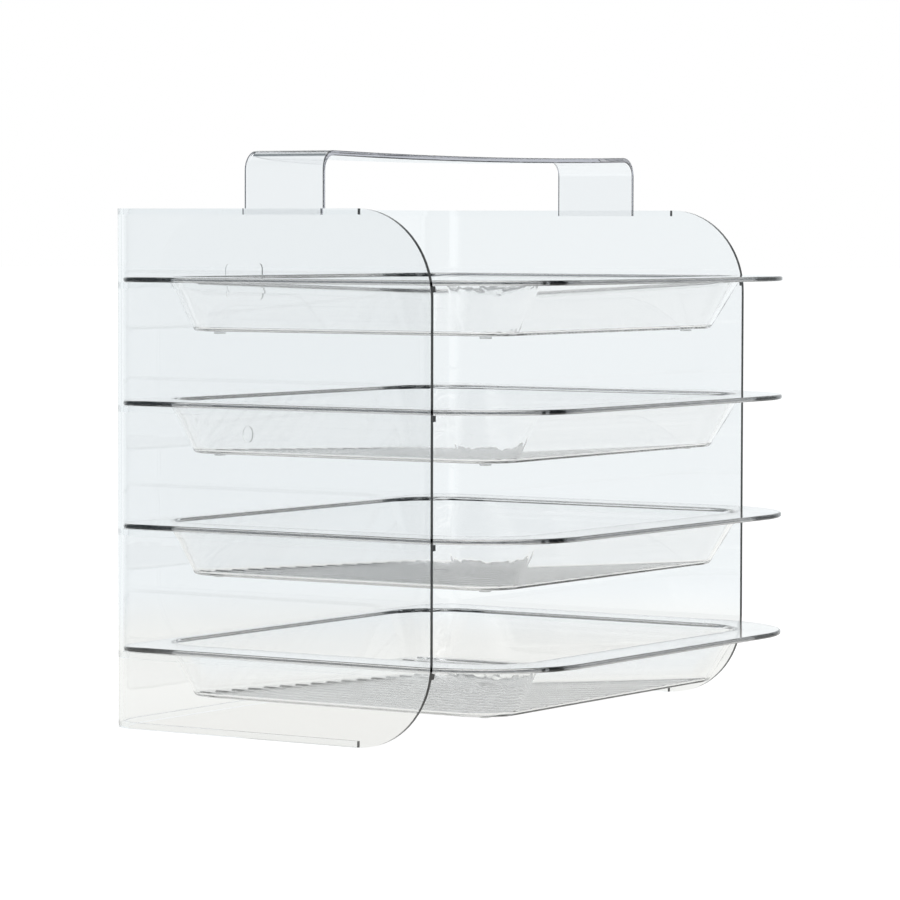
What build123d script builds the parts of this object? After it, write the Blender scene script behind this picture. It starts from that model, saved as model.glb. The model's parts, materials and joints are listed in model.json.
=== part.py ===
"""Clear four-tier letter tray: a U-shaped housing, a bent strap handle and pull-out trays.

The origin is on the standing surface, midway across the width and midway between the
trays' front edge and the housing's back face. The opening faces -Y. All sizes are in mm.
"""

import os

from build123d import *

# Housing
HOUSING_WIDTH = 408.0
HOUSING_DEPTH = 264.0
HOUSING_HEIGHT = 350.0
WALL = 3.0
REAR_RADIUS = 24.0
PANEL_RADIUS = 58.0

# Strips moulded along the housing's inner face: tray ledges and edge beads
STRIP_DEPTH = 3.0
STRIP_HEIGHT = 4.0

# Blank pad and gate scar on the back panel
BADGE_WIDTH = 44.0
BADGE_HEIGHT = 20.0
BADGE_RADIUS = 4.0
BADGE_CENTRE = (-44.0, 302.0)
GATE_RADIUS = 6.0
GATE_CENTRE = (-40.0, 197.0)
MARK_DEPTH = 0.8

# Tiers, counted from the top
TIERS = 4
TIER_PITCH = 83.0
BOTTOM_RIM_TOP = 55.0

# Tray
OVERHANG = 65.0
SIDE_GAP = 1.0
LEDGE_GAP = 0.3
RIM = 3.4
TRAY_WALL = 2.2
TRAY_DEPTH = 37.0
RIM_FRONT_RADIUS = 76.0
RIM_REAR_RADIUS = 19.0
RIM_FILLET = 1.4
SIDE_FLANGE = 32.0
FRONT_FLANGE = 33.0
REAR_FLANGE = 8.0
SLOPE_RUN = 17.5
REAR_SLOPE_RUN = 12.0
MOUTH_RADIUS = 42.0
FLOOR_RADIUS = 27.0
MOUTH_FILLET = 1.8
UNDERSIDE_FILLET = 2.5
FLOOR_FILLET = 2.5

# Paper ribs on the tray's floor
RIB_COUNT = 15
RIB_PITCH = 19.2
RIB_WIDTH = 5.0
RIB_HEIGHT = 1.0
RIB_END_MARGIN = 7.0

# Bumper feet under the tray's floor
FOOT_RADIUS = 4.0
FOOT_HEIGHT = 2.0
FOOT_INSET = 20.0
FOOT_FILLET = 0.6

# Handle
STRAP = 3.4
STRAP_WIDTH = 63.0
STRAP_RISE = 38.0
STRAP_SAG = 2.0
STRAP_BEND = 13.0
STRAP_OFFSET = 120.0
STRAP_FILLET = 0.8

# Derived places
BACK = (HOUSING_DEPTH + OVERHANG) / 2
PANEL_FRONT = BACK - HOUSING_DEPTH
TRAY_FRONT = PANEL_FRONT - OVERHANG
TRAY_BACK = BACK - WALL - SIDE_GAP
TRAY_HALF = HOUSING_WIDTH / 2 - WALL - SIDE_GAP
RIM_TOPS = [BOTTOM_RIM_TOP + TIER_PITCH * (TIERS - 1 - tier) for tier in range(TIERS)]


def u_band(inset, thickness, front):
    """Plan of a U that runs behind the housing's outer face, open towards -Y."""
    side = HOUSING_WIDTH / 2 - inset
    rear = BACK - inset
    with BuildSketch() as band:
        with BuildLine():
            FilletPolyline(
                (-side, front),
                (-side, rear),
                (side, rear),
                (side, front),
                radius=REAR_RADIUS - inset,
            )
            offset(amount=thickness, side=Side.RIGHT)
        make_face()
    return band.sketch


def rounded_plan(half_width, front, back, front_radius, rear_radius):
    """Plan of a rectangle with one radius at its front corners and one at its rear."""
    with BuildSketch() as plan:
        with Locations((0, (front + back) / 2)):
            Rectangle(2 * half_width, back - front)
        fillet(plan.vertices().group_by(Axis.Y)[0], front_radius)
        fillet(plan.vertices().group_by(Axis.Y)[-1], rear_radius)
    return plan.sketch


def mouth_plan(outset):
    """Plan of the basin's mouth, grown by outset."""
    return rounded_plan(
        TRAY_HALF - SIDE_FLANGE + outset,
        TRAY_FRONT + FRONT_FLANGE - outset,
        TRAY_BACK - REAR_FLANGE + outset,
        MOUTH_RADIUS + outset,
        MOUTH_RADIUS + outset,
    )


def floor_plan(outset):
    """Plan of the basin's underside, grown by outset."""
    return rounded_plan(
        TRAY_HALF - SIDE_FLANGE - SLOPE_RUN + outset,
        TRAY_FRONT + FRONT_FLANGE + SLOPE_RUN - outset,
        TRAY_BACK - REAR_FLANGE - REAR_SLOPE_RUN + outset,
        FLOOR_RADIUS + outset,
        FLOOR_RADIUS + outset,
    )


def save(part, name):
    part.label = name
    export_step(part, f"parts/{name}.step")


def make_housing_shell():
    """Back and side panels in one moulding, with ledges, edge beads and moulded marks."""
    with BuildPart() as housing_shell:
        with BuildSketch():
            add(u_band(0, WALL, PANEL_FRONT))
        extrude(amount=HOUSING_HEIGHT)
        for rim_top in RIM_TOPS:
            with BuildSketch(Plane.XY.offset(rim_top - RIM - LEDGE_GAP - STRIP_HEIGHT)):
                add(u_band(WALL, STRIP_DEPTH, PANEL_FRONT))
            extrude(amount=STRIP_HEIGHT)
        with BuildSketch(Plane.YZ.offset(-HOUSING_WIDTH / 2)) as side_view:
            with Locations(((PANEL_FRONT + BACK) / 2, HOUSING_HEIGHT / 2)):
                Rectangle(HOUSING_DEPTH, HOUSING_HEIGHT)
            fillet(side_view.vertices().group_by(Axis.X)[0], PANEL_RADIUS)
        extrude(amount=HOUSING_WIDTH, mode=Mode.INTERSECT)
        for bead_base in (0, HOUSING_HEIGHT - STRIP_HEIGHT):
            with BuildSketch(Plane.XY.offset(bead_base)):
                add(u_band(WALL, STRIP_DEPTH, PANEL_FRONT + PANEL_RADIUS))
            extrude(amount=STRIP_HEIGHT)
        with BuildSketch(Plane.XZ.offset(-BACK)):
            with Locations(BADGE_CENTRE):
                RectangleRounded(BADGE_WIDTH, BADGE_HEIGHT, BADGE_RADIUS)
            with Locations(GATE_CENTRE):
                Circle(GATE_RADIUS)
        extrude(amount=MARK_DEPTH, mode=Mode.SUBTRACT)
    return housing_shell.part


def make_carry_handle():
    """Strap bent down at both ends, its legs lapping the top bead from inside."""
    leg = HOUSING_WIDTH / 2 - WALL - STRIP_DEPTH
    foot = HOUSING_HEIGHT - STRIP_HEIGHT
    top = HOUSING_HEIGHT + STRAP_RISE
    with BuildPart() as carry_handle:
        with BuildSketch(Plane.XZ.offset(-PANEL_FRONT - STRAP_OFFSET)):
            with BuildLine():
                Polyline((-leg, foot), (-leg, top - STRAP_BEND))
                RadiusArc((-leg, top - STRAP_BEND), (STRAP_BEND - leg, top), STRAP_BEND)
                ThreePointArc((STRAP_BEND - leg, top), (0, top - STRAP_SAG), (leg - STRAP_BEND, top))
                RadiusArc((leg - STRAP_BEND, top), (leg, top - STRAP_BEND), STRAP_BEND)
                Line((leg, top - STRAP_BEND), (leg, foot))
                offset(amount=STRAP, side=Side.RIGHT)
            make_face()
        extrude(amount=STRAP_WIDTH / 2, both=True)
        fillet(carry_handle.edges().filter_by(Plane.XZ), STRAP_FILLET)
    return carry_handle.part


def rib_profile():
    """Low rounded section of one paper rib, standing on its base line."""
    with BuildSketch() as profile:
        with BuildLine():
            Line((-RIB_WIDTH / 2, 0), (RIB_WIDTH / 2, 0))
            ThreePointArc((-RIB_WIDTH / 2, 0), (0, RIB_HEIGHT), (RIB_WIDTH / 2, 0))
        make_face()
    return profile.sketch


def make_tray(rim_top):
    """Flat rim round a sloping basin whose floor carries raised paper ribs."""
    underside = rim_top - TRAY_DEPTH
    floor = underside + TRAY_WALL
    rib_front = TRAY_FRONT + FRONT_FLANGE + SLOPE_RUN + RIB_END_MARGIN
    rib_back = TRAY_BACK - REAR_FLANGE - REAR_SLOPE_RUN - RIB_END_MARGIN
    with BuildPart() as tray:
        with BuildSketch(Plane.XY.offset(rim_top - RIM)):
            add(rounded_plan(TRAY_HALF, TRAY_FRONT, TRAY_BACK, RIM_FRONT_RADIUS, RIM_REAR_RADIUS))
        extrude(amount=RIM)
        fillet(tray.edges().filter_by(Plane.XY), RIM_FILLET)

        # Outside of the basin
        with BuildSketch(Plane.XY.offset(rim_top - RIM)):
            add(mouth_plan(TRAY_WALL))
        with BuildSketch(Plane.XY.offset(underside)):
            add(floor_plan(0))
        loft()
        fillet(tray.faces().sort_by(Axis.Z)[0].edges(), UNDERSIDE_FILLET)

        # Inside of the basin
        with BuildSketch(Plane.XY.offset(rim_top)):
            add(mouth_plan(0))
        with BuildSketch(Plane.XY.offset(floor)):
            add(floor_plan(-TRAY_WALL / 2))
        loft(mode=Mode.SUBTRACT)
        rim_face = tray.faces().sort_by(Axis.Z)[-1]
        fillet(rim_face.inner_wires()[0].edges(), MOUTH_FILLET)
        floor_face = tray.faces().filter_by_position(Axis.Z, floor - 0.01, floor + 0.01)[0]
        fillet(floor_face.edges(), FLOOR_FILLET)

        with BuildSketch(Plane.XZ.offset(-rib_back)):
            with Locations((0, floor)):
                with GridLocations(RIB_PITCH, 1, RIB_COUNT, 1):
                    add(rib_profile())
        extrude(amount=rib_back - rib_front)
    return tray.part


def make_foot(rim_top, x, y):
    """Round bumper stuck under one corner of the basin."""
    with BuildPart() as foot:
        with BuildSketch(Plane.XY.offset(rim_top - TRAY_DEPTH)):
            with Locations((x, y)):
                Circle(FOOT_RADIUS)
        extrude(amount=-FOOT_HEIGHT)
        fillet(foot.edges().sort_by(Axis.Z)[0], FOOT_FILLET)
    return foot.part


os.makedirs("parts", exist_ok=True)
save(make_housing_shell(), "housing_shell")
save(make_carry_handle(), "carry_handle")
foot_x = TRAY_HALF - SIDE_FLANGE - SLOPE_RUN - FOOT_INSET
foot_ys = {
    "front": TRAY_FRONT + FRONT_FLANGE + SLOPE_RUN + FOOT_INSET,
    "rear": TRAY_BACK - REAR_FLANGE - REAR_SLOPE_RUN - FOOT_INSET,
}
for tier, rim_top in enumerate(RIM_TOPS, start=1):
    save(make_tray(rim_top), f"tray_{tier}")
    for end, foot_y in foot_ys.items():
        save(make_foot(rim_top, -foot_x, foot_y), f"tray_{tier}_foot_{end}_left")
        save(make_foot(rim_top, foot_x, foot_y), f"tray_{tier}_foot_{end}_right")
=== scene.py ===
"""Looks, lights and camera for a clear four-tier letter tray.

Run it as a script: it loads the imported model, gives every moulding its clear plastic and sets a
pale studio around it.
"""

import json
import math

import bmesh
import bpy
from bpy.props import FloatProperty, FloatVectorProperty, PointerProperty
from bpy.types import Operator, Panel, PropertyGroup
from mathutils import Matrix, Vector


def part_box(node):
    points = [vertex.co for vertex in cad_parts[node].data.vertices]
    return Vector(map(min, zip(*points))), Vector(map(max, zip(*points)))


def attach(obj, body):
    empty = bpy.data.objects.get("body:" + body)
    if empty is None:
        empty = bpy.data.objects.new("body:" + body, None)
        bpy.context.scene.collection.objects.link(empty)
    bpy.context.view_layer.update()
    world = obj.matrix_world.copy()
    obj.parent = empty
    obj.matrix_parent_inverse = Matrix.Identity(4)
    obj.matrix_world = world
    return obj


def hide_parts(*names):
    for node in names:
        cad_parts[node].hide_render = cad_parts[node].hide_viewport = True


bl_info = {
    "name": "Clear letter tray",
    "version": (1, 0, 0),
    "blender": (4, 5, 0),
    "location": "View3D > Sidebar > Letter Tray",
    "description": "Clear plastic looks, studio light and camera for a four-tier letter tray",
    "category": "Object",
}

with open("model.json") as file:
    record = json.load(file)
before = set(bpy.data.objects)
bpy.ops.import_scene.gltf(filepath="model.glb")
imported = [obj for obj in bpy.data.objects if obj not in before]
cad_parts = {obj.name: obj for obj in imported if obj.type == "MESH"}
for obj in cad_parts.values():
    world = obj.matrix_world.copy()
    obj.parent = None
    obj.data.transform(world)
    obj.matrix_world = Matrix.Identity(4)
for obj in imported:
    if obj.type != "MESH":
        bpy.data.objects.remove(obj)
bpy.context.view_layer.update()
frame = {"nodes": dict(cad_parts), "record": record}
NODES = frame["nodes"]
BODIES = frame["record"]["behaviour"]["bodies"]
WHITE = (1.0, 1.0, 1.0)

# Plastic, in metres where it is a length
PLASTIC_IOR = 1.53
WAVE_WIDTH = 0.045
WAVE_DETAIL = 1.0
SMEAR_WIDTH = 0.030
SMEAR_RANGE = (0.35, 0.75)
SMEAR_SPREAD = (0.7, 1.3)
# Upright faces, whose normal rises less than this, take the edge colour; on the trays that colour
# is painted shade.
EDGE_SHADE_SLANT = 0.32

# Gaps that keep two refracting faces from lying in one place
BOND_GAP = 0.00005
MERGE_GAP = 0.000001
FLOOR_GAP = 0.0002

# Stage
FLOOR_SEGMENTS = 96
FLOOR_ROUGHNESS = 0.9
SENSOR_WIDTH = 36.0
VIEW_RANGE = 200.0
CLEAR_BOUNCES = 128
TRANSPARENT_BOUNCES = 40
GLOSSY_BOUNCES = 12
TRAY_BODIES = sorted(name for name in BODIES if name.startswith("tray_body"))


def tint_property(default):
    return FloatVectorProperty(
        name="Tint",
        description="What is left of white light after it has gone the tint depth in the plastic",
        subtype="COLOR", size=3, min=0.01, max=0.99, default=default,
    )


def depth_property(default):
    return FloatProperty(
        name="Tint depth", description="How far light goes in the plastic before it has the tint",
        subtype="DISTANCE", unit="LENGTH", default=default, min=0.001,
    )


def haze_property(default):
    return FloatProperty(
        name="Haze", description="Roughness of the polished faces",
        subtype="FACTOR", default=default, min=0.0, max=1.0,
    )


# Edge colour is the base colour of upright faces. A dark one is painted shade: it stands in for
# the dark lines that refraction and light trapped in the plastic give the cut edges.
def edge_shade_property(default):
    return FloatVectorProperty(
        name="Edge", description="Colour of the upright cut edges",
        subtype="COLOR", size=3, min=0.0, max=1.0, default=default,
    )


def wave_property(default):
    return FloatProperty(
        name="Wave height", description="Depth of the slow waves that moulding leaves in a wall",
        subtype="DISTANCE", unit="LENGTH", default=default, min=0.0, precision=6,
    )


class HousingPlastic(PropertyGroup):
    """Plastic of the U-shaped housing"""

    tint: tint_property((0.77, 0.82, 0.85))
    depth: depth_property(0.060)
    haze: haze_property(0.0)
    edge: edge_shade_property((1.0, 1.0, 1.0))
    wave: wave_property(0.00001)


class HandlePlastic(PropertyGroup):
    """Plastic of the bent strap"""

    tint: tint_property((0.60, 0.60, 0.64))
    depth: depth_property(0.060)
    haze: haze_property(0.0)
    edge: edge_shade_property((1.0, 1.0, 1.0))
    wave: wave_property(0.0)


class TrayPlastic(PropertyGroup):
    """Plastic of the trays"""

    tint: tint_property((0.92, 0.92, 0.92))
    depth: depth_property(0.060)
    haze: haze_property(0.03)
    # Dark edge colour: painted shade along the trays' upright faces, tuned to the tone of the dark
    # edge lines.
    edge: edge_shade_property((0.10, 0.105, 0.115))
    wave: wave_property(0.00003)


class FootPlastic(PropertyGroup):
    """Soft plastic of the feet"""

    tint: tint_property((0.60, 0.60, 0.60))
    depth: depth_property(0.010)
    haze: haze_property(0.20)
    edge: edge_shade_property((1.0, 1.0, 1.0))
    wave: wave_property(0.0)


class StageSettings(PropertyGroup):
    """Floor, light and camera"""

    floor_colour: FloatVectorProperty(
        name="Floor", description="Colour of the floor",
        subtype="COLOR", size=3, min=0.0, max=1.0, default=(0.15, 0.15, 0.15),
    )
    floor_radius: FloatProperty(
        name="Floor radius", description="Radius of the round floor",
        subtype="DISTANCE", unit="LENGTH", default=30.0, min=1.0,
    )
    floor_glow: FloatProperty(
        name="Floor glow", description="Light that the floor gives off, as a lit table does",
        default=0.90, min=0.0,
    )
    table_slight: FloatProperty(
        name="Table slight angle",
        description="Below this angle the floor away from the walls gives no light",
        subtype="ANGLE", unit="ROTATION", default=math.radians(6.0),
    )
    table_steep: FloatProperty(
        name="Table steep angle",
        description="Above this angle the floor gives its full light everywhere",
        subtype="ANGLE", unit="ROTATION", default=math.radians(11.0),
    )
    backdrop_middle: FloatProperty(
        name="Backdrop direction",
        description="Direction of the middle of the lit backdrop, from the right",
        subtype="ANGLE", unit="ROTATION", default=math.radians(32.7),
    )
    backdrop_half: FloatProperty(
        name="Backdrop half width", description="Half the angle over which the backdrop is lit",
        subtype="ANGLE", unit="ROTATION", default=math.radians(40.0),
    )
    side_middle: FloatProperty(
        name="Side wall direction",
        description="Direction of the middle of the lit side wall, from the right",
        subtype="ANGLE", unit="ROTATION", default=math.radians(184.0),
    )
    rear_middle: FloatProperty(
        name="Rear wall direction",
        description="Direction of the middle of the lit rear wall, from the right",
        subtype="ANGLE", unit="ROTATION", default=math.radians(92.0),
    )
    side_half: FloatProperty(
        name="Side wall half width", description="Half the angle over which the side wall is lit",
        subtype="ANGLE", unit="ROTATION", default=math.radians(9.0),
    )
    fill_middle: FloatProperty(
        name="Fill wall direction",
        description="Direction of the middle of the fill wall, from the right",
        subtype="ANGLE", unit="ROTATION", default=math.radians(-33.0),
    )
    fill_half: FloatProperty(
        name="Fill wall half width", description="Half the angle over which the fill wall is lit",
        subtype="ANGLE", unit="ROTATION", default=math.radians(12.0),
    )
    fill: FloatProperty(
        name="Fill wall", description="Brightness of the fill wall",
        default=0.80, min=0.0,
    )
    table_radius: FloatProperty(
        name="Table radius", description="How far the floor is lit all around the object",
        subtype="DISTANCE", unit="LENGTH", default=0.55, min=0.1,
    )
    table: FloatVectorProperty(
        name="Table",
        description="Colour of the light that the floor gives off close to the object",
        subtype="COLOR", size=3, min=0.0, max=1.0, default=(0.84, 0.84, 0.815),
    )
    overhead: FloatProperty(
        name="Overhead", description="Brightness of the light panel overhead",
        default=0.9, min=0.0,
    )
    overhead_from: FloatProperty(
        name="Overhead edge",
        description="Height at which the light panel overhead starts, as an angle",
        subtype="ANGLE", unit="ROTATION", default=math.radians(45.0),
    )
    wall_top: FloatProperty(
        name="Wall top", description="How high the walls are lit, as an angle above eye level",
        subtype="ANGLE", unit="ROTATION", default=math.radians(28.0),
    )
    wall_fade: FloatProperty(
        name="Wall fade", description="The angle over which a wall's light fades out",
        subtype="ANGLE", unit="ROTATION", default=math.radians(12.0),
    )
    surround: FloatProperty(
        name="Surround", description="Brightness of the studio away from the backdrop",
        default=0.16, min=0.0,
    )
    surround_colour: FloatVectorProperty(
        name="Surround colour", description="Colour of the studio away from the backdrop",
        subtype="COLOR", size=3, min=0.0, max=1.0, default=(0.72, 0.90, 1.0),
    )
    sky: FloatVectorProperty(
        name="Backdrop", description="Colour of the lit walls",
        subtype="COLOR", size=3, min=0.0, max=1.0, default=(0.95, 0.985, 1.0),
    )
    lamp_size: FloatProperty(
        name="Lamp size", description="Side of the square lamp overhead",
        subtype="DISTANCE", unit="LENGTH", default=1.6, min=0.1,
    )
    lamp_height: FloatProperty(
        name="Lamp height", description="Height of the lamp above the floor",
        subtype="DISTANCE", unit="LENGTH", default=2.2, min=0.5,
    )
    lamp_power: FloatProperty(
        name="Lamp power", description="Power of the lamp overhead",
        subtype="POWER", unit="POWER", default=12.0, min=0.0,
    )
    azimuth: FloatProperty(
        name="Azimuth", description="Where the camera stands, from the front towards the right",
        subtype="ANGLE", unit="ROTATION", default=math.radians(-56.82),
    )
    elevation: FloatProperty(
        name="Elevation", description="How far the camera looks down",
        subtype="ANGLE", unit="ROTATION", default=math.radians(3.03),
    )
    roll: FloatProperty(
        name="Roll", description="Turn of the camera about its line of sight",
        subtype="ANGLE", unit="ROTATION", default=math.radians(0.12),
    )
    distance: FloatProperty(
        name="Distance", description="From the camera to its target",
        subtype="DISTANCE", unit="LENGTH", default=2.940, min=0.1,
    )
    target: FloatVectorProperty(
        name="Target", description="The point that the camera looks at",
        subtype="TRANSLATION", unit="LENGTH", size=3, default=(-0.0284, 0.0005, 0.1849),
    )
    lens: FloatProperty(
        name="Lens", description="Focal length of the camera in millimetres",
        default=171.1, min=10.0,
    )


def new_math(nodes, links, operation, first, second):
    """Math node that joins two sockets."""
    node = nodes.new("ShaderNodeMath")
    node.operation = operation
    links.new(first, node.inputs[0])
    links.new(second, node.inputs[1])
    return node.outputs["Value"]


def ramp(nodes, links, value, low, high, at_low=0.0, at_high=1.0):
    """Smooth step from one value to the other."""
    node = nodes.new("ShaderNodeMapRange")
    node.interpolation_type = "SMOOTHSTEP"
    node.inputs["From Min"].default_value = low
    node.inputs["From Max"].default_value = high
    node.inputs["To Min"].default_value = at_low
    node.inputs["To Max"].default_value = at_high
    links.new(value, node.inputs["Value"])
    return node.outputs["Result"]


def scaled(colour, strength):
    return [channel * strength for channel in colour]


def blend_colour(nodes, links, share, first, second):
    """Colour between two others, each a socket or fixed channels."""
    node = nodes.new("ShaderNodeMix")
    node.data_type = "RGBA"
    links.new(share, node.inputs["Factor"])
    sockets = [socket for socket in node.inputs if socket.type == "RGBA"]
    for socket, colour in zip(sockets, (first, second)):
        if isinstance(colour, bpy.types.NodeSocket):
            links.new(colour, socket)
        else:
            socket.default_value = (*colour, 1.0)
    return next(socket for socket in node.outputs if socket.type == "RGBA")


def clear_plastic(name, settings):
    """Clear moulded plastic: refracting skin, slow waves, a tint with depth and an edge colour on
    upright faces, which on the trays is painted shade.
    """
    material = bpy.data.materials.new(name)
    material.use_nodes = True
    nodes, links = material.node_tree.nodes, material.node_tree.links
    nodes.clear()
    output = nodes.new("ShaderNodeOutputMaterial")
    skin = nodes.new("ShaderNodeBsdfPrincipled")
    skin.inputs["Transmission Weight"].default_value = 1.0
    skin.inputs["IOR"].default_value = PLASTIC_IOR
    links.new(skin.outputs["BSDF"], output.inputs["Surface"])

    place = nodes.new("ShaderNodeTexCoord")
    wave = nodes.new("ShaderNodeTexNoise")
    wave.inputs["Scale"].default_value = 1.0 / WAVE_WIDTH
    wave.inputs["Detail"].default_value = WAVE_DETAIL
    bump = nodes.new("ShaderNodeBump")
    bump.inputs["Distance"].default_value = settings.wave
    links.new(place.outputs["Object"], wave.inputs["Vector"])
    links.new(wave.outputs["Fac"], bump.inputs["Height"])
    links.new(bump.outputs["Normal"], skin.inputs["Normal"])

    smear = nodes.new("ShaderNodeTexNoise")
    smear.inputs["Scale"].default_value = 1.0 / SMEAR_WIDTH
    links.new(place.outputs["Object"], smear.inputs["Vector"])
    least, most = (settings.haze * spread for spread in SMEAR_SPREAD)
    links.new(
        ramp(nodes, links, smear.outputs["Fac"], *SMEAR_RANGE, least, most),
        skin.inputs["Roughness"],
    )

    # Painted shade: upright faces take the edge colour as their base colour, which on the trays
    # darkens all light that passes through them.
    surface = nodes.new("ShaderNodeNewGeometry")
    split = nodes.new("ShaderNodeSeparateXYZ")
    links.new(surface.outputs["Normal"], split.inputs["Vector"])
    slant = nodes.new("ShaderNodeMath")
    slant.operation = "ABSOLUTE"
    links.new(split.outputs["Z"], slant.inputs[0])
    upright = ramp(nodes, links, slant.outputs["Value"], EDGE_SHADE_SLANT / 2, EDGE_SHADE_SLANT, 1.0, 0.0)
    links.new(blend_colour(nodes, links, upright, WHITE, settings.edge), skin.inputs["Base Color"])

    depth = nodes.new("ShaderNodeVolumeAbsorption")
    strongest = max(-math.log(channel) for channel in settings.tint)
    depth.inputs["Density"].default_value = strongest / settings.depth
    depth.inputs["Color"].default_value = [
        1.0 + math.log(channel) / strongest for channel in settings.tint
    ] + [1.0]
    links.new(depth.outputs["Volume"], output.inputs["Volume"])
    return material


def give(node, material):
    """The CAD node shows with that material alone."""
    slots = NODES[node].data.materials
    slots.clear()
    slots.append(material)


def bonded_copy(node, material, body, draw_in, middle):
    """Copy of a CAD node, drawn in by a hair from the faces that it is bonded to."""
    source = NODES[node].data
    normals = [corner.vector.copy() for corner in source.corner_normals]
    shape = bmesh.new()
    shape.from_mesh(source)
    bmesh.ops.remove_doubles(shape, verts=shape.verts, dist=MERGE_GAP)
    bmesh.ops.scale(shape, vec=draw_in, verts=shape.verts, space=Matrix.Translation(-middle))
    mesh = bpy.data.meshes.new(node + "_bonded")
    shape.to_mesh(mesh)
    shape.free()
    mesh.normals_split_custom_set(normals)
    mesh.materials.append(material)
    piece = bpy.data.objects.new(node + "_bonded", mesh)
    bpy.context.scene.collection.objects.link(piece)
    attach(piece, body)
    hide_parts(node)
    return piece


class LETTERTRAY_OT_housing(Operator):
    """Give the housing shell its clear plastic"""

    bl_idname = "letter_tray.housing"
    bl_label = "Housing shell"

    def execute(self, context):
        plastic = clear_plastic("housing clear plastic", context.scene.housing_plastic)
        give("housing_shell", plastic)
        return {"FINISHED"}


class LETTERTRAY_OT_handle(Operator):
    """Give the strap handle its clear plastic"""

    bl_idname = "letter_tray.handle"
    bl_label = "Strap handle"

    def execute(self, context):
        plastic = clear_plastic("handle clear plastic", context.scene.handle_plastic)
        low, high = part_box("carry_handle")
        shrink = 1.0 - 2.0 * BOND_GAP / (high.x - low.x)
        middle = (low + high) / 2
        bonded_copy(
            "carry_handle", plastic, "housing", (shrink, 1.0, 1.0), middle,
        )
        return {"FINISHED"}


class LETTERTRAY_OT_trays(Operator):
    """Give the four trays and their feet their clear plastics"""

    bl_idname = "letter_tray.trays"
    bl_label = "Trays"

    def execute(self, context):
        plastic = clear_plastic("tray clear plastic", context.scene.tray_plastic)
        soft = clear_plastic("foot soft clear plastic", context.scene.foot_plastic)
        for body in TRAY_BODIES:
            for node in BODIES[body]:
                if "_foot_" not in node:
                    give(node, plastic)
                    continue
                low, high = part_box(node)
                shrink = 1.0 - BOND_GAP / (high.z - low.z)
                base = Vector((0.0, 0.0, low.z))
                bonded_copy(node, soft, body, (1.0, 1.0, shrink), base)
        return {"FINISHED"}


def wall_light(nodes, links, direction, settings):
    """How strongly the walls around the object are lit in a direction, by azimuth alone."""
    flat = nodes.new("ShaderNodeVectorMath")
    flat.operation = "MULTIPLY"
    flat.inputs[1].default_value = (1.0, 1.0, 0.0)
    links.new(direction, flat.inputs[0])
    unit = nodes.new("ShaderNodeVectorMath")
    unit.operation = "NORMALIZE"
    links.new(flat.outputs["Vector"], unit.inputs[0])
    light = None
    for middle, half, strength in (
        (settings.backdrop_middle, settings.backdrop_half, 1.0),
        (settings.side_middle, settings.side_half, 1.0),
        (settings.rear_middle, settings.side_half, 1.0),
        (settings.fill_middle, settings.fill_half, settings.fill),
    ):
        facing = nodes.new("ShaderNodeVectorMath")
        facing.operation = "DOT_PRODUCT"
        facing.inputs[1].default_value = (math.cos(middle), math.sin(middle), 0.0)
        links.new(unit.outputs["Vector"], facing.inputs[0])
        wall = ramp(
            nodes, links, facing.outputs["Value"],
            math.cos(half + settings.wall_fade), math.cos(half), 0.0, strength,
        )
        light = new_math(nodes, links, "MAXIMUM", light, wall) if light else wall
    return light


def stage_floor(settings):
    """Round floor: white to the camera, and a lit table near the object to every other ray."""
    mesh = bpy.data.meshes.new("studio_floor")
    disc = bmesh.new()
    bmesh.ops.create_circle(
        disc, cap_ends=True, segments=FLOOR_SEGMENTS, radius=settings.floor_radius,
    )
    bmesh.ops.translate(disc, vec=(0.0, 0.0, -FLOOR_GAP), verts=disc.verts)
    disc.to_mesh(mesh)
    disc.free()
    floor = bpy.data.objects.new("studio_floor", mesh)
    bpy.context.scene.collection.objects.link(floor)
    paint = bpy.data.materials.new("studio floor paint")
    paint.use_nodes = True
    nodes, links = paint.node_tree.nodes, paint.node_tree.links
    skin = nodes["Principled BSDF"]
    skin.inputs["Base Color"].default_value = (*settings.floor_colour, 1.0)
    skin.inputs["Roughness"].default_value = FLOOR_ROUGHNESS
    skin.inputs["Specular IOR Level"].default_value = 0.0
    place = nodes.new("ShaderNodeTexCoord")
    walls = wall_light(nodes, links, place.outputs["Object"], settings)
    slant = nodes.new("ShaderNodeLayerWeight")
    steep = ramp(
        nodes, links, slant.outputs["Facing"],
        1.0 - math.sin(settings.table_steep), 1.0 - math.sin(settings.table_slight), 1.0, 0.0,
    )
    reach = nodes.new("ShaderNodeVectorMath")
    reach.operation = "LENGTH"
    links.new(place.outputs["Object"], reach.inputs[0])
    near = ramp(
        nodes, links, reach.outputs["Value"],
        settings.table_radius, 2.0 * settings.table_radius, 1.0, 0.0,
    )
    lit = new_math(nodes, links, "MAXIMUM", walls, steep)
    dim = scaled(settings.surround_colour, settings.surround)
    far = blend_colour(nodes, links, lit, dim, scaled(settings.sky, settings.floor_glow))
    studio = blend_colour(nodes, links, near, far, settings.table)
    path = nodes.new("ShaderNodeLightPath")
    seen = blend_colour(nodes, links, path.outputs["Is Camera Ray"], studio, WHITE)
    links.new(seen, skin.inputs["Emission Color"])
    skin.inputs["Emission Strength"].default_value = 1.0
    mesh.materials.append(paint)


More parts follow.
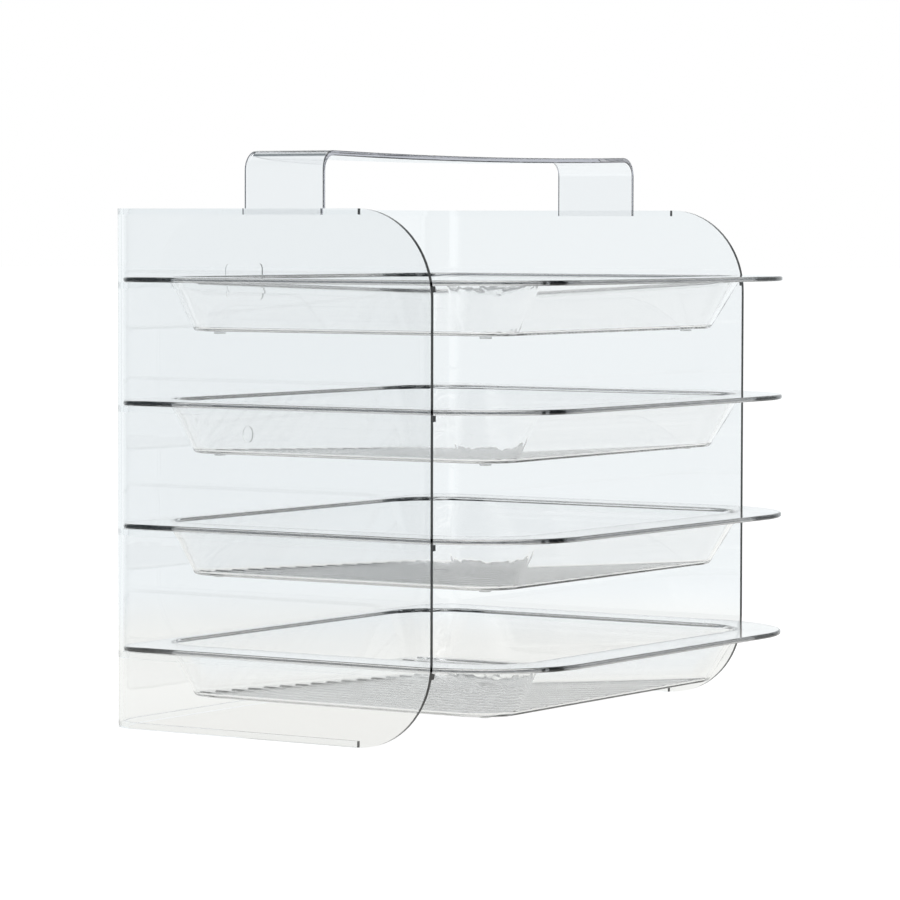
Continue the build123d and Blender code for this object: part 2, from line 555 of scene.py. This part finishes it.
def stage_world(settings):
    """White to the camera; every other ray sees lit walls, dim gaps and a panel overhead."""
    world = bpy.data.worlds.new("studio")
    bpy.context.scene.world = world
    world.use_nodes = True
    nodes, links = world.node_tree.nodes, world.node_tree.links
    nodes.clear()
    output = nodes.new("ShaderNodeOutputWorld")
    light = nodes.new("ShaderNodeBackground")
    place = nodes.new("ShaderNodeTexCoord")
    split = nodes.new("ShaderNodeSeparateXYZ")
    links.new(place.outputs["Generated"], split.inputs["Vector"])
    walls = wall_light(nodes, links, place.outputs["Generated"], settings)
    low = ramp(
        nodes, links, split.outputs["Z"],
        math.sin(settings.wall_top), math.sin(settings.wall_top + settings.wall_fade), 1.0, 0.0,
    )
    overhead = ramp(
        nodes, links, split.outputs["Z"],
        math.sin(settings.overhead_from),
        math.sin(settings.overhead_from + settings.wall_fade),
        0.0, settings.overhead,
    )
    path = nodes.new("ShaderNodeLightPath")
    lit = new_math(nodes, links, "MULTIPLY", walls, low)
    lit = new_math(nodes, links, "MAXIMUM", lit, overhead)
    dim = scaled(settings.surround_colour, settings.surround)
    studio = blend_colour(nodes, links, lit, dim, settings.sky)
    seen = blend_colour(nodes, links, path.outputs["Is Camera Ray"], studio, WHITE)
    links.new(seen, light.inputs["Color"])
    links.new(light.outputs["Background"], output.inputs["Surface"])


def stage_lamp(settings):
    """Wide soft lamp above the object."""
    lamp = bpy.data.lights.new("overhead_lamp", "AREA")
    lamp.size = settings.lamp_size
    lamp.energy = settings.lamp_power
    holder = bpy.data.objects.new("overhead_lamp", lamp)
    bpy.context.scene.collection.objects.link(holder)
    holder.location = (0.0, 0.0, settings.lamp_height)


def stage_camera(settings):
    """Camera that looks at the target from the set angle."""
    camera = bpy.data.cameras.new("camera")
    camera.sensor_width = SENSOR_WIDTH
    camera.lens = settings.lens
    camera.clip_end = VIEW_RANGE
    holder = bpy.data.objects.new("camera", camera)
    bpy.context.scene.collection.objects.link(holder)
    turn = (
        Matrix.Rotation(settings.azimuth, 4, "Z")
        @ Matrix.Rotation(math.pi / 2 - settings.elevation, 4, "X")
        @ Matrix.Rotation(settings.roll, 4, "Z")
    )
    back = turn.to_3x3() @ Vector((0.0, 0.0, settings.distance))
    holder.matrix_world = Matrix.Translation(Vector(settings.target) + back) @ turn
    bpy.context.scene.camera = holder


class LETTERTRAY_OT_stage(Operator):
    """Set the floor, the studio light and the camera"""

    bl_idname = "letter_tray.stage"
    bl_label = "Stage"

    def execute(self, context):
        settings = context.scene.tray_stage
        stage_floor(settings)
        stage_world(settings)
        stage_lamp(settings)
        stage_camera(settings)
        scene = context.scene
        scene.view_settings.view_transform = "Standard"
        scene.cycles.use_denoising = True
        scene.cycles.max_bounces = CLEAR_BOUNCES
        scene.cycles.transmission_bounces = CLEAR_BOUNCES
        scene.cycles.transparent_max_bounces = TRANSPARENT_BOUNCES
        scene.cycles.glossy_bounces = GLOSSY_BOUNCES
        return {"FINISHED"}


class LETTERTRAY_PT_panel(Panel):
    """Lists the pieces and their settings in the sidebar"""

    bl_label = "Letter Tray"
    bl_idname = "LETTERTRAY_PT_panel"
    bl_space_type = "VIEW_3D"
    bl_region_type = "UI"
    bl_category = "Letter Tray"

    def draw(self, context):
        for key in SETTINGS:
            group = getattr(context.scene, key)
            box = self.layout.box()
            for name in group.__annotations__:
                box.prop(group, name)
        for operator in OPERATORS:
            self.layout.operator(operator.bl_idname)


SETTINGS = {
    "housing_plastic": HousingPlastic,
    "handle_plastic": HandlePlastic,
    "tray_plastic": TrayPlastic,
    "foot_plastic": FootPlastic,
    "tray_stage": StageSettings,
}
OPERATORS = (LETTERTRAY_OT_housing, LETTERTRAY_OT_handle, LETTERTRAY_OT_trays, LETTERTRAY_OT_stage)


def register():
    for cls in (*SETTINGS.values(), *OPERATORS, LETTERTRAY_PT_panel):
        bpy.utils.register_class(cls)
    for key, group in SETTINGS.items():
        setattr(bpy.types.Scene, key, PointerProperty(type=group))


def unregister():
    for key in SETTINGS:
        delattr(bpy.types.Scene, key)
    for cls in reversed((*SETTINGS.values(), *OPERATORS, LETTERTRAY_PT_panel)):
        bpy.utils.unregister_class(cls)


def main():
    register()
    bpy.ops.letter_tray.housing()
    bpy.ops.letter_tray.handle()
    bpy.ops.letter_tray.trays()
    bpy.ops.letter_tray.stage()


if __name__ == "__main__":
    main()
